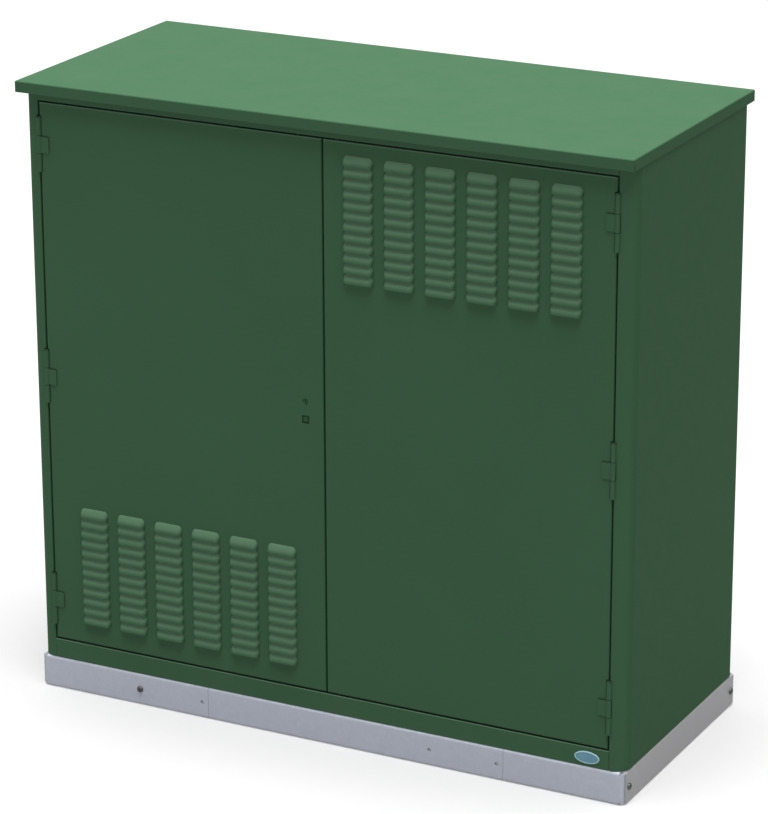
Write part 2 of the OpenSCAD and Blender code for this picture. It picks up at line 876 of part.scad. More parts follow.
module lock_case() {
  color(zinc) at_face() translate([lock_x, 0, lock_z]) difference() {
    box([case_x[0], case_y[0], case_z[0]], [case_x[1], case_y[1], case_z[1]]);
    box([case_x[0] + case_t, case_y[0] + case_t, case_z[0] - 1],
      [case_x[1] - case_t, case_y[1] - case_t, case_z[1] + 1]);
    bar_y(0, 0, [case_y[0] - 1, case_y[0] + case_t + 1], spindle_head_d + 2 * running);
    bar_y(0, 0, [case_y[1] - case_t - 1, case_y[1] + 1], spindle_tail_d + 2 * running);
    bar_y(0, key_rise, [0, case_y[1] + 1], key_barrel_d + 2 * running);
  }
}

module lock_spindle() {
  color(zinc) at_face() translate([lock_x, 0, lock_z]) {
    bar_y(0, 0, spindle_head_y, spindle_head_d);
    bar_y(0, 0, [spindle_head_y[0], crank_y[1]], spindle_d);
    bar_y(0, 0, [crank_y[0], case_y[1] + 1], spindle_tail_d);
    translate([-drive_side / 2, drive_y, -drive_side / 2])
      cube([drive_side, spindle_head_y[0] + 1 - drive_y, drive_side]);
    // crank across the axis, with its pins at 45 degrees at rest
    rotate([0, -crank_angle, 0]) for (s = [-1, 1]) {
      box([s < 0 ? -crank_r : 0, crank_y[0], -crank_pin_d], [s < 0 ? 0 : crank_r, crank_y[1], crank_pin_d]);
      bar_y(s * crank_r, 0, crank_y, 2 * crank_pin_d);
      bar_y(s * crank_r, 0, [crank_pin_y, crank_y[1]], crank_pin_d);
    }
  }
}

// Rod driven by a crank pin; side is -1 left of the spindle, up is 1 for the upper rod
module lock_rod(side, up, end_z) {
  pin_z = lock_z - up * rod_drop;
  plate_x = [for (v = rod_plate_x) lock_x + side * v];
  slot_x = [for (v = rod_slot_x) lock_x + side * v];
  from = pin_z + up * (rod_plate_half_h - 2);
  difference() {
    union() {
      box([min(plate_x), rod_plate_y[0], pin_z - rod_plate_half_h],
        [max(plate_x), rod_plate_y[1], pin_z + rod_plate_half_h]);
      post(lock_x + side * rod_off_x, rod_y, [min(from, end_z + rod_tip), max(from, end_z - rod_tip)], rod_d);
      translate([lock_x + side * rod_off_x, rod_y, end_z - (up > 0 ? rod_tip : 0)])
        cylinder(d1 = rod_d - (up > 0 ? 0 : 2) * rod_tip, d2 = rod_d - (up > 0 ? 2 : 0) * rod_tip, h = rod_tip);
    }
    box([min(slot_x), rod_plate_y[0] - 1, pin_z - rod_slot_half_h],
      [max(slot_x), rod_plate_y[1] + 1, pin_z + rod_slot_half_h]);
  }
}

module lock_rod_top() {
  color(zinc) at_face() lock_rod(-1, 1, door_top - rod_end_gap);
}

module lock_rod_bottom() {
  color(zinc) at_face() lock_rod(1, -1, door_bottom + rod_end_gap);
}

module rod_guides() {
  guides = [
    [rod_top_x, lock_z + guide_from[0]], [rod_top_x, door_top - guide_from[1]],
    [rod_bottom_x, lock_z - guide_from[0]], [rod_bottom_x, door_bottom + guide_from[1]]
  ];
  color(nylon) at_face() for (g = guides) translate([g[0], 0, g[1]]) difference() {
    box([-guide_half[0], sheet, -guide_half[1]],
      [guide_half[0], rod_y + rod_d / 2 + guide_lip, guide_half[1]]);
    post(0, rod_y, [-guide_half[1] - 1, guide_half[1] + 1], rod_d + 2 * running);
  }
}

module lock_barrel() {
  color(zinc) at_face() translate([lock_x, 0, key_z]) difference() {
    bar_y(0, 0, [sheet, case_y[1] + 0.2], key_barrel_d);
    bar_y(0, 0, [0, case_y[1] + 1], key_plug_d + 2 * running);
  }
}

module key_plug() {
  color(zinc) at_face() translate([lock_x, 0, key_z]) difference() {
    bar_y(0, 0, key_plug_y, key_plug_d);
    translate([0, key_plug_y[0], 0]) cube(key_slot, center = true);
  }
}

module lock_tongue() {
  y = [key_plug_y[1], key_plug_y[1] + tongue_t];
  color(zinc) at_face() translate([lock_x, 0, key_z]) difference() {
    union() {
      bar_y(0, 0, y, tongue_w);
      box([-tongue_w / 2, y[0], 0], [tongue_w / 2, y[1], tongue_l]);
    }
    bar_y(0, 0, [y[0] - 1, y[1] + 1], screw_d + 2 * running);
  }
}

module tongue_screw() {
  y = key_plug_y[1] + tongue_t;
  color(zinc) at_face() translate([lock_x, 0, key_z]) {
    bar_y(0, 0, [key_plug_y[1], y], screw_d);
    translate([0, y, 0]) rotate([-90, 0, 0]) hex_bar(tongue_screw_d, tongue_screw_t);
  }
}

// ---------- bolts on the right door ----------

// Height on the right door, measured from its top or its bottom edge
function bolt_height(up, v) = up > 0 ? door_top - v : door_bottom + v;

module bracket(up) {
  z = [bolt_height(up, bracket_from), bolt_height(up, bracket_from + bracket_l)];
  x = [bolt_x - bracket_half_w, bolt_x + bracket_half_w];
  difference() {
    union() {
      box([x[0], sheet, min(z)], [x[1], sheet + bracket_t / 2, max(z)]);
      for (e = [min(z), max(z) - bracket_t])
        box([x[0], sheet, e], [x[1], rod_y + rod_d / 2 + bracket_lip, e + bracket_t]);
    }
    post(bolt_x, rod_y, [min(z) - 1, max(z) + 1], rod_d + 2 * running);
  }
}

module bolt_brackets() {
  color(zinc) at_face() {
    bracket(1);
    bracket(-1);
  }
}

module shoot_bolt(up) {
  z = [bolt_height(up, rod_end_gap), bolt_height(up, rod_end_gap + bolt_l)];
  knob_z = bolt_height(up, knob_from);
  color(zinc) at_face() {
    post(bolt_x, rod_y, [min(z), max(z)], rod_d);
    bar_y(bolt_x, knob_z, [rod_y, rod_y + knob_l], knob_d);
    bar_y(bolt_x, knob_z, [rod_y + knob_l - knob_grip[0], rod_y + knob_l], knob_d + knob_grip[1]);
  }
}

module shoot_bolt_top() {
  shoot_bolt(1);
}

module shoot_bolt_bottom() {
  shoot_bolt(-1);
}

// ---------- inside ----------

module door_seal() {
  color(rubber) at_face() difference() {
    box([-door_edge_x, seal_y[0], door_bottom], [door_edge_x, seal_y[1], door_top]);
    box([seal_w - door_edge_x, seal_y[0] - 1, door_bottom + seal_w],
      [door_edge_x - seal_w, seal_y[1] + 1, door_top - seal_w]);
  }
}

module mounting_rails() {
  color(bare_metal) at_face() both_sides()
    translate([rail_pitch / 2, back_y, rail_z[0]]) linear_extrude(rail_z[1] - rail_z[0]) difference() {
      translate([-rail_w / 2, -rail_d]) square([rail_w, rail_d]);
      translate([-rail_w / 2 + rail_t, -rail_d + rail_t]) square([rail_w - 2 * rail_t, rail_d - 2 * rail_t]);
      translate([-rail_w / 2 + rail_lip, -rail_d - 1]) square([rail_w - 2 * rail_lip, rail_t + 2]);
    }
}

module mounting_board() {
  color(ply) at_face() difference() {
    box([-board_w / 2, board_y - board_t, board_z[0]], [board_w / 2, board_y, board_z[1]]);
    for (x = [-rail_pitch / 2, rail_pitch / 2], z = board_bolt_z)
      bar_y(x, z, [board_y - board_t - 1, board_y + 1], board_bolt_d + 0.2);
  }
}

module board_bolts() {
  color(zinc) at_face() for (x = [-rail_pitch / 2, rail_pitch / 2], z = board_bolt_z)
    translate([x, board_y - board_t, z]) rotate([90, 0, 0])
      button_screw(board_bolt_d, board_t + rail_t + board_nut[1] + 2, 2 * board_bolt_d, board_bolt_d / 2);
}

// Nuts that slide in the rails, behind the lips
module board_nuts() {
  color(zinc) at_face() for (x = [-rail_pitch / 2, rail_pitch / 2], z = board_bolt_z) difference() {
    translate([x - board_nut[0] / 2, board_y + rail_t, z - board_nut[2] / 2]) cube(board_nut);
    bar_y(x, z, [board_y, board_y + rail_d], board_bolt_d + 2 * running);
  }
}

module each_gland() {
  for (i = [0 : gland_cols - 1], j = [0 : gland_rows - 1])
    translate([
      (i - (gland_cols - 1) / 2) * gland_pitch[0],
      gland_y + (j - (gland_rows - 1) / 2) * gland_pitch[1],
      gland_z
    ]) children();
}

module each_gland_screw() {
  for (x = [-1, 0, 1], y = [-1, 1])
    translate([
      x * (gland_half[0] - gland_lap / 2),
      gland_y + y * (gland_half[1] - gland_lap / 2),
      gland_z + gland_plate_t
    ]) children();
}

module gland_plate() {
  color(bare_metal) at_face() difference() {
    box([-gland_half[0], gland_y - gland_half[1], gland_z],
      [gland_half[0], gland_y + gland_half[1], gland_z + gland_plate_t]);
    each_gland() translate([0, 0, -1]) cylinder(d = gland_hole_d, h = gland_plate_t + 2);
    each_gland_screw() translate([0, 0, -2 * gland_plate_t])
      cylinder(d = screw_d + 0.2, h = 3 * gland_plate_t);
  }
}

// Blind rubber grommets, cut open when a cable is pulled through
module gland_grommets() {
  color(rubber) at_face() each_gland() rotate_extrude() difference() {
    union() {
      translate([0, -sheet]) square([gland_hole_d / 2 - 0.1, sheet + gland_plate_t + grommet_t]);
      translate([0, gland_plate_t]) square([gland_hole_d / 2 + grommet_wall, grommet_t]);
    }
    translate([0, -sheet + 1.5]) square([gland_hole_d / 2 - grommet_wall, sheet + gland_plate_t + grommet_t]);
  }
}

module gland_screws() {
  color(zinc) at_face() each_gland_screw() button_screw(screw_d, gland_plate_t, screw_head_d, screw_head_t);
}

module each_post() {
  for (x = [-1, 1])
    translate([x * (earth_bar[0] / 2 - earth_post_inset), board_y - board_t, earth_bar_z]) children();
}

module earth_posts() {
  color([0.55, 0.1, 0.08]) at_face() each_post() rotate([90, 0, 0]) hex_bar(earth_post_d, earth_post_l);
}

module earth_bar() {
  color(brass) at_face() translate([0, earth_bar_y, earth_bar_z]) difference() {
    box([-earth_bar[0] / 2, 0, -earth_bar[2] / 2], [earth_bar[0] / 2, earth_bar[1], earth_bar[2] / 2]);
    for (i = [0 : earth_holes - 1])
      bar_y((i - (earth_holes - 1) / 2) * earth_pitch, 0, [-1, earth_bar[1] + 1], screw_d + 2 * running);
  }
}

module earth_screws() {
  color(brass) at_face() for (i = [0 : earth_holes - 1])
    translate([(i - (earth_holes - 1) / 2) * earth_pitch, earth_bar_y, earth_bar_z]) rotate([90, 0, 0])
      button_screw(screw_d, earth_bar[1] + 3, earth_head[0], earth_head[1]);
}

side_panel_left();
side_panel_right();
back_panel();
header_rail();
sill_rail();
floor_plate();
roof();
roof_studs();
roof_nuts();
base_bolts();
base_nuts();
back_rivets();
frame_hinges_left();
frame_hinges_right();
hinge_pins_left();
hinge_pins_right();
badge();
door_seal();
mounting_rails();
mounting_board();
board_bolts();
board_nuts();
gland_plate();
gland_grommets();
gland_screws();
earth_bar();
earth_posts();
earth_screws();
plinth_front_left();
plinth_front_middle();
plinth_front_right();
plinth_rear();
plinth_side_left();
plinth_side_right();
plinth_splices();
plinth_screws();
door_left();
hinge_leaves_left();
door_stiffener_left();
document_pocket();
lock_case();
lock_barrel();
rod_guides();
door_right();
hinge_leaves_right();
door_stiffener_right();
bolt_brackets();
lock_spindle();
lock_rod_top();
lock_rod_bottom();
key_plug();
lock_tongue();
tongue_screw();
shoot_bolt_top();
shoot_bolt_bottom();
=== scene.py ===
"""Roadside utility cabinet: the finishes, the studio and the fine pieces around the CAD frame.
Metres, in the frame of the part: X along the front, Y from the doors to the back, Z up."""

import json
import math

import bpy
import bmesh
from mathutils import Matrix, Quaternion, Vector


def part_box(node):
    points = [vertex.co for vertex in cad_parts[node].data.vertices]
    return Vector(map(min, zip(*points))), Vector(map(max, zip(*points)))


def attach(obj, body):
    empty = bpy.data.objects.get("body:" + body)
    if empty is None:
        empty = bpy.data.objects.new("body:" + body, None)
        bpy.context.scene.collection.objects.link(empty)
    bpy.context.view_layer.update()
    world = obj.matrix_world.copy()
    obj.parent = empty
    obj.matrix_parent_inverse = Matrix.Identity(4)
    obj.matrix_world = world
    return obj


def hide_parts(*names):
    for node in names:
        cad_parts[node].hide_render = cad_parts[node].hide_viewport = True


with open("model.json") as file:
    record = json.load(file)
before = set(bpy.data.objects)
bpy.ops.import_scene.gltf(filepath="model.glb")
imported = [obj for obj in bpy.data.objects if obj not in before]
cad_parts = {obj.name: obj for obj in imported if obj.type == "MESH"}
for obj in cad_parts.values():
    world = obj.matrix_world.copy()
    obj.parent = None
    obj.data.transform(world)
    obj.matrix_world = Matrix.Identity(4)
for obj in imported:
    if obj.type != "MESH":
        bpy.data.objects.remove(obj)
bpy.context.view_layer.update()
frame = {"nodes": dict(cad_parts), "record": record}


# ---------- shader groups ----------

def new_group(name, inputs, outputs):
    """Shader node group with named float or colour sockets; inputs are (name, kind, default)."""
    group = bpy.data.node_groups.new(name, "ShaderNodeTree")
    for label, kind, default in inputs:
        socket = group.interface.new_socket(label, in_out="INPUT", socket_type=kind)
        socket.default_value = default
    for label, kind in outputs:
        group.interface.new_socket(label, in_out="OUTPUT", socket_type=kind)
    return group, group.nodes.new("NodeGroupInput"), group.nodes.new("NodeGroupOutput")


def node(tree, kind, **settings):
    """New node with its properties set."""
    made = tree.nodes.new(kind)
    for key, value in settings.items():
        setattr(made, key, value)
    return made


def math_node(tree, operation, first, second):
    """Two values combined; each is a number or a socket."""
    made = node(tree, "ShaderNodeMath", operation=operation)
    for slot, value in enumerate((first, second)):
        if isinstance(value, (int, float)):
            made.inputs[slot].default_value = value
        else:
            tree.links.new(value, made.inputs[slot])
    return made.outputs[0]


def noise(tree, place, scale, detail=2.0, roughness=0.5):
    made = node(tree, "ShaderNodeTexNoise")
    made.inputs["Scale"].default_value = scale
    made.inputs["Detail"].default_value = detail
    made.inputs["Roughness"].default_value = roughness
    tree.links.new(place, made.inputs["Vector"])
    return made.outputs["Fac"]


def ramp(tree, value, low, high, out_low=0.0, out_high=1.0):
    made = node(tree, "ShaderNodeMapRange", clamp=True)
    made.inputs["From Min"].default_value = low
    made.inputs["From Max"].default_value = high
    made.inputs["To Min"].default_value = out_low
    made.inputs["To Max"].default_value = out_high
    tree.links.new(value, made.inputs["Value"])
    return made.outputs["Result"]


def mix_colour(tree, share, first, second):
    made = node(tree, "ShaderNodeMix", data_type="RGBA")
    for socket, value in ((made.inputs[0], share), (made.inputs[6], first), (made.inputs[7], second)):
        if isinstance(value, bpy.types.NodeSocket):
            tree.links.new(value, socket)
        else:
            socket.default_value = value
    return made.outputs[2]


def make_powder_coat():
    """Orange peel and faint cloudiness of a powder coat: a height, a cloud mask and a roughness."""
    group, inside, out = new_group(
        "Powder Coat",
        [("Peel Size", "NodeSocketFloat", 420.0), ("Roughness", "NodeSocketFloat", 0.4)],
        [("Height", "NodeSocketFloat"), ("Cloud", "NodeSocketFloat"), ("Roughness", "NodeSocketFloat")],
    )
    place = node(group, "ShaderNodeTexCoord").outputs["Object"]
    peel = node(group, "ShaderNodeTexNoise")
    peel.inputs["Detail"].default_value = 1.5
    peel.inputs["Roughness"].default_value = 0.4
    group.links.new(place, peel.inputs["Vector"])
    group.links.new(inside.outputs["Peel Size"], peel.inputs["Scale"])
    fine = noise(group, place, 2400.0, 1.0)
    height = math_node(group, "ADD", peel.outputs["Fac"], math_node(group, "MULTIPLY", fine, 0.15))
    cloud = ramp(group, noise(group, place, 3.2, 4.0, 0.55), 0.3, 0.7)
    spots = ramp(group, noise(group, place, 38.0, 3.0, 0.6), 0.35, 0.65, -0.03, 0.03)
    rough = math_node(group, "ADD", inside.outputs["Roughness"], spots)
    group.links.new(height, out.inputs["Height"])
    group.links.new(cloud, out.inputs["Cloud"])
    group.links.new(rough, out.inputs["Roughness"])
    return group


def make_dust_and_painted_light():
    """Where a little dust lies: faces that look up, and a splash band near the ground. It also puts
    out masks for painted light and shade: faces that look up (painted top light), faces that look
    sideways (painted side shade) and the ledges in the gaps round the doors (painted gap shade)."""
    group, inside, out = new_group(
        "Dust And Painted Light",
        [("On Top", "NodeSocketFloat", 0.06), ("Splash", "NodeSocketFloat", 0.1),
         ("Splash Height", "NodeSocketFloat", 0.16)],
        [("Mask", "NodeSocketFloat"), ("Looks Up", "NodeSocketFloat"), ("Looks Sideways", "NodeSocketFloat"),
         ("Front Ledge", "NodeSocketFloat")],
    )
    coord = node(group, "ShaderNodeTexCoord").outputs["Object"]
    axes = node(group, "ShaderNodeSeparateXYZ")
    group.links.new(coord, axes.inputs[0])
    facing = node(group, "ShaderNodeSeparateXYZ")
    group.links.new(node(group, "ShaderNodeNewGeometry").outputs["Normal"], facing.inputs[0])
    blotches = ramp(group, noise(group, coord, 14.0, 6.0, 0.65), 0.35, 0.7)
    top = math_node(group, "MULTIPLY", ramp(group, facing.outputs["Z"], 0.6, 1.0), inside.outputs["On Top"])
    above = math_node(group, "DIVIDE", axes.outputs["Z"], inside.outputs["Splash Height"])
    low = ramp(group, above, 0.0, 1.0, 1.0, 0.0)
    splash = math_node(group, "MULTIPLY", math_node(group, "MULTIPLY", low, low), inside.outputs["Splash"])
    mask = math_node(group, "MULTIPLY", math_node(group, "ADD", top, splash), blotches)
    group.links.new(mask, out.inputs["Mask"])
    # Masks for painted light and shade: faces that look up take painted top light, faces that look sideways
    # take painted side shade.
    group.links.new(ramp(group, facing.outputs["Z"], 0.06, 0.36), out.inputs["Looks Up"])
    sideways = math_node(group, "ABSOLUTE", facing.outputs["X"], 0.0)
    group.links.new(ramp(group, sideways, 0.75, 1.0), out.inputs["Looks Sideways"])
    # Mask of the ledges in the gaps round the doors, which take painted shade.
    in_front = ramp(group, axes.outputs["Y"], -0.230, -0.228, 1.0, 0.0)
    gap_shade = math_node(group, "MULTIPLY", ramp(group, facing.outputs["Z"], 0.8, 0.95), in_front)
    group.links.new(gap_shade, out.inputs["Front Ledge"])
    return group


def make_rolled_grain():
    """Fine grain of rolled, drawn or plated metal, stretched by Along: a mask and a height."""
    group, inside, out = new_group(
        "Rolled Grain",
        [("Along", "NodeSocketVector", (1.0, 1.0, 1.0)), ("Scale", "NodeSocketFloat", 60.0)],
        [("Grain", "NodeSocketFloat"), ("Height", "NodeSocketFloat")],
    )
    coord = node(group, "ShaderNodeTexCoord").outputs["Object"]
    stretch = node(group, "ShaderNodeVectorMath", operation="MULTIPLY")
    group.links.new(coord, stretch.inputs[0])
    group.links.new(inside.outputs["Along"], stretch.inputs[1])
    lines = node(group, "ShaderNodeTexNoise")
    lines.inputs["Detail"].default_value = 3.0
    group.links.new(stretch.outputs[0], lines.inputs["Vector"])
    group.links.new(inside.outputs["Scale"], lines.inputs["Scale"])
    group.links.new(ramp(group, lines.outputs["Fac"], 0.35, 0.65), out.inputs["Grain"])
    group.links.new(lines.outputs["Fac"], out.inputs["Height"])
    return group


def make_zinc_spangle():
    """Crystals of hot-dip zinc: a brightness for each crystal and a faint edge between them."""
    group, inside, out = new_group(
        "Zinc Spangle",
        [("Crystals", "NodeSocketFloat", 110.0)],
        [("Shade", "NodeSocketFloat"), ("Height", "NodeSocketFloat")],
    )
    coord = node(group, "ShaderNodeTexCoord").outputs["Object"]
    warp = node(group, "ShaderNodeTexNoise")
    warp.inputs["Scale"].default_value = 40.0
    group.links.new(coord, warp.inputs["Vector"])
    push = node(group, "ShaderNodeVectorMath", operation="SCALE")
    push.inputs["Scale"].default_value = 0.008
    group.links.new(warp.outputs["Color"], push.inputs[0])
    moved = node(group, "ShaderNodeVectorMath", operation="ADD")
    group.links.new(coord, moved.inputs[0])
    group.links.new(push.outputs[0], moved.inputs[1])
    cells = node(group, "ShaderNodeTexVoronoi")
    group.links.new(moved.outputs[0], cells.inputs["Vector"])
    group.links.new(inside.outputs["Crystals"], cells.inputs["Scale"])
    shade = node(group, "ShaderNodeSeparateColor")
    group.links.new(cells.outputs["Color"], shade.inputs[0])
    group.links.new(shade.outputs[0], out.inputs["Shade"])
    group.links.new(cells.outputs["Distance"], out.inputs["Height"])
    return group


powder_coat = make_powder_coat()
dust_and_painted_light = make_dust_and_painted_light()
rolled_grain = make_rolled_grain()
zinc_spangle = make_zinc_spangle()


# ---------- finishes ----------

def new_finish(name, metallic=0.0, roughness=0.5, **sockets):
    """Material with a Principled shader; returns the material, its tree and the shader."""
    material = bpy.data.materials.new(name)
    material.use_nodes = True
    tree = material.node_tree
    shader = tree.nodes["Principled BSDF"]
    shader.inputs["Metallic"].default_value = metallic
    shader.inputs["Roughness"].default_value = roughness
    for key, value in sockets.items():
        shader.inputs[key.replace("_", " ")].default_value = value
    return material, tree, shader


def use_group(tree, group, **values):
    """Group placed in a material with its own values."""
    made = node(tree, "ShaderNodeGroup", node_tree=group)
    for key, value in values.items():
        made.inputs[key.replace("_", " ")].default_value = value
    return made


def bump(tree, shader, height, strength, distance):
    made = node(tree, "ShaderNodeBump")
    made.inputs["Strength"].default_value = strength
    made.inputs["Distance"].default_value = distance
    tree.links.new(height, made.inputs["Height"])
    tree.links.new(made.outputs["Normal"], shader.inputs["Normal"])


DUST = (0.30, 0.28, 0.24, 1.0)
BADGE_FACE = (0.46, 0.425)  # half width and half height of the blue face, as shares of the plate


def painted(name, colour, lighter, roughness, top_dust=0.03, splash=0.05,
            top_light=None, side_shade=None, gap_shade=None):
    """Powder-coated sheet: cloudy colour, orange peel, a trace of dust, painted light (a lighter
    colour) where it looks up, painted shade (a deeper colour) where it looks to the sides, and
    painted shade (near black) on the ledges in the gaps round the doors."""
    material, tree, shader = new_finish(name, Specular_IOR_Level=0.01)
    coat = use_group(tree, powder_coat, Peel_Size=420.0, Roughness=roughness)
    dust_and_light = use_group(tree, dust_and_painted_light, On_Top=top_dust, Splash=splash)
    paint = mix_colour(tree, coat.outputs["Cloud"], colour, lighter)
    # Painted shade: a deeper green where the face looks to the sides.
    if side_shade:
        paint = mix_colour(tree, dust_and_light.outputs["Looks Sideways"], paint, side_shade)
    # Painted light: a lighter green where the face looks up.
    if top_light:
        paint = mix_colour(tree, dust_and_light.outputs["Looks Up"], paint, top_light)
    # Painted shade: near black on the ledges in the gaps round the doors.
    if gap_shade:
        paint = mix_colour(tree, dust_and_light.outputs["Front Ledge"], paint, gap_shade)
    tree.links.new(mix_colour(tree, dust_and_light.outputs["Mask"], paint, DUST), shader.inputs["Base Color"])
    tree.links.new(coat.outputs["Roughness"], shader.inputs["Roughness"])
    bump(tree, shader, coat.outputs["Height"], 0.25, 0.0002)
    return material


def bare_sheet(name, dark, light, roughness, splash=0.08):
    """Zinc-coated sheet with faint spangle."""
    material, tree, shader = new_finish(name, metallic=0.3, Specular_IOR_Level=0.3)
    spangle = use_group(tree, zinc_spangle, Crystals=130.0)
    dust_and_light = use_group(tree, dust_and_painted_light, On_Top=0.05, Splash=splash, Splash_Height=0.05)
    metal = mix_colour(tree, spangle.outputs["Shade"], dark, light)
    tree.links.new(mix_colour(tree, dust_and_light.outputs["Mask"], metal, DUST), shader.inputs["Base Color"])
    tree.links.new(ramp(tree, spangle.outputs["Shade"], 0.0, 1.0, roughness - 0.05, roughness + 0.05),
                   shader.inputs["Roughness"])
    bump(tree, shader, spangle.outputs["Height"], 0.08, 0.0002)
    return material


def plated(name, dark, light, roughness, along):
    """Plated or drawn metal with a fine grain."""
    material, tree, shader = new_finish(name, metallic=1.0)
    grain = use_group(tree, rolled_grain, Along=along, Scale=90.0)
    tree.links.new(mix_colour(tree, grain.outputs["Grain"], dark, light), shader.inputs["Base Color"])
    tree.links.new(ramp(tree, grain.outputs["Grain"], 0.0, 1.0, roughness - 0.06, roughness + 0.06),
                   shader.inputs["Roughness"])
    bump(tree, shader, grain.outputs["Height"], 0.15, 0.0001)
    return material


def moulded(name, dark, light, roughness, pore_scale=900.0, strength=0.2):
    """Moulded plastic or rubber with a fine pored skin."""
    material, tree, shader = new_finish(name, roughness=roughness)
    place = node(tree, "ShaderNodeTexCoord").outputs["Object"]
    cloud = ramp(tree, noise(tree, place, 45.0, 3.0), 0.3, 0.7)
    tree.links.new(mix_colour(tree, cloud, dark, light), shader.inputs["Base Color"])
    bump(tree, shader, noise(tree, place, pore_scale, 2.0), strength, 0.0002)
    return material


def plywood():
    """Sanded plywood: long grain on the faces, dark and light plies at the edges."""
    material, tree, shader = new_finish("plywood", roughness=0.62)
    coord = node(tree, "ShaderNodeTexCoord").outputs["Object"]
    stretch = node(tree, "ShaderNodeVectorMath", operation="MULTIPLY")
    stretch.inputs[1].default_value = (1.0, 14.0, 14.0)
    tree.links.new(coord, stretch.inputs[0])
    grain = ramp(tree, noise(tree, stretch.outputs[0], 6.0, 8.0, 0.6), 0.3, 0.7)
    face = mix_colour(tree, grain, (0.44, 0.29, 0.15, 1.0), (0.62, 0.45, 0.26, 1.0))
    plies = node(tree, "ShaderNodeTexWave", bands_direction="Y")
    plies.inputs["Scale"].default_value = 55.0
    plies.inputs["Distortion"].default_value = 0.3
    tree.links.new(coord, plies.inputs["Vector"])
    edge = mix_colour(tree, plies.outputs["Fac"], (0.32, 0.20, 0.10, 1.0), (0.60, 0.44, 0.26, 1.0))
    facing = node(tree, "ShaderNodeSeparateXYZ")
    tree.links.new(node(tree, "ShaderNodeNewGeometry").outputs["Normal"], facing.inputs[0])
    flat = ramp(tree, math_node(tree, "ABSOLUTE", facing.outputs["Y"], 0.0), 0.5, 0.9)
    tree.links.new(mix_colour(tree, flat, edge, face), shader.inputs["Base Color"])
    bump(tree, shader, grain, 0.1, 0.0002)
    return material


GREEN = ((0.0375, 0.0875, 0.0460, 1), (0.0395, 0.0915, 0.0485, 1))
# Painted light: lighter greens for faces that look up, on the roof and on the doors.
ROOF_PAINTED_TOP_LIGHT = (0.0508, 0.1195, 0.0630, 1)
DOOR_PAINTED_TOP_LIGHT = (0.0690, 0.1320, 0.0790, 1)
# Painted shade: near black for the ledges in the gaps round the doors.
PAINTED_GAP_SHADE = (0.0040, 0.0090, 0.0050, 1)
# Painted shade: a deeper green for faces that look to the sides.
PAINTED_SIDE_SHADE_GREEN = (0.0314, 0.0810, 0.0390, 1)

FINISH = {
    # The green paints hold painted top light and painted side shade; the frame and doors also hold painted
    # shade in the door gaps.
    "painted_steel": painted(
        "green_paint", *GREEN, 0.5, top_light=DOOR_PAINTED_TOP_LIGHT, side_shade=PAINTED_SIDE_SHADE_GREEN, gap_shade=PAINTED_GAP_SHADE),
    "roof_paint": painted("green_paint_roof", *GREEN, 0.48, top_light=ROOF_PAINTED_TOP_LIGHT, side_shade=PAINTED_SIDE_SHADE_GREEN),
    "lock_paint": painted("lock_paint", (0.026, 0.068, 0.034, 1), (0.028, 0.072, 0.037, 1), 0.5, 0.0, 0.0),
    "bare_metal": bare_sheet("zinc_sheet", (0.368, 0.388, 0.450, 1), (0.398, 0.420, 0.486, 1), 0.5),
    # Painted shade: a darker copy of the zinc sheet for the plinth sides.
    "zinc_painted_side_shade": bare_sheet("zinc_sheet_painted_side_shade", (0.289, 0.290, 0.298, 1), (0.313, 0.313, 0.322, 1), 0.5),
    "zinc": plated("zinc_plate", (0.50, 0.50, 0.49, 1), (0.70, 0.69, 0.66, 1), 0.34, (4.0, 4.0, 1.0)),
    "badge": painted("blue_enamel", (0.075, 0.190, 0.255, 1), (0.150, 0.285, 0.345, 1), 0.35, 0.0, 0.0),
    "badge_rim": painted("badge_rim", (0.26, 0.41, 0.47, 1), (0.31, 0.46, 0.52, 1), 0.4, 0.0, 0.0),
    "dull_zinc": plated("dull_zinc", (0.08, 0.085, 0.08, 1), (0.14, 0.145, 0.14, 1), 0.5, (4.0, 4.0, 1.0)),
    "rubber": moulded("black_rubber", (0.012, 0.012, 0.012, 1), (0.022, 0.022, 0.021, 1), 0.75),
    "plywood": plywood(),
    "brass": plated("drawn_brass", (0.58, 0.40, 0.14, 1), (0.76, 0.56, 0.24, 1), 0.28, (1.0, 6.0, 6.0)),
    "insulator": moulded("red_insulator", (0.22, 0.016, 0.012, 1), (0.27, 0.022, 0.016, 1), 0.4),
    "pocket_plastic": moulded("grey_plastic", (0.065, 0.070, 0.075, 1), (0.080, 0.086, 0.090, 1), 0.5),
    "nylon": moulded("white_nylon", (0.62, 0.60, 0.54, 1), (0.72, 0.70, 0.64, 1), 0.45),
}

slot_of = {part["node"]: part["material_slot"] for part in frame["record"]["subparts"]}
for name, part in frame["nodes"].items():
    part.data.materials.clear()
    # The plinth sides take the darker zinc copy, which is painted shade.
    part.data.materials.append(FINISH["zinc_painted_side_shade" if name.startswith("plinth_side") else slot_of[name]])


# ---------- modelling by hand ----------

def begin(shape, name, place, size, along=(0, 0, 1), sides=32):
    """Box of three sizes, or round bar of (radius, length), alone in the selection and in edit mode."""
    bpy.ops.object.select_all(action="DESELECT")
    if shape == "box":
        bpy.ops.mesh.primitive_cube_add(size=1.0, location=place)
        bpy.context.object.scale = size
    else:
        turn = Vector(along).to_track_quat("Z", "Y").to_euler()
        bpy.ops.mesh.primitive_cylinder_add(
            vertices=sides, radius=size[0], depth=size[1], location=place, rotation=turn)
    piece = bpy.context.object
    piece.name = name
    bpy.ops.object.transform_apply(location=True, rotation=True, scale=True)
    bpy.ops.object.mode_set(mode="EDIT")
    return piece


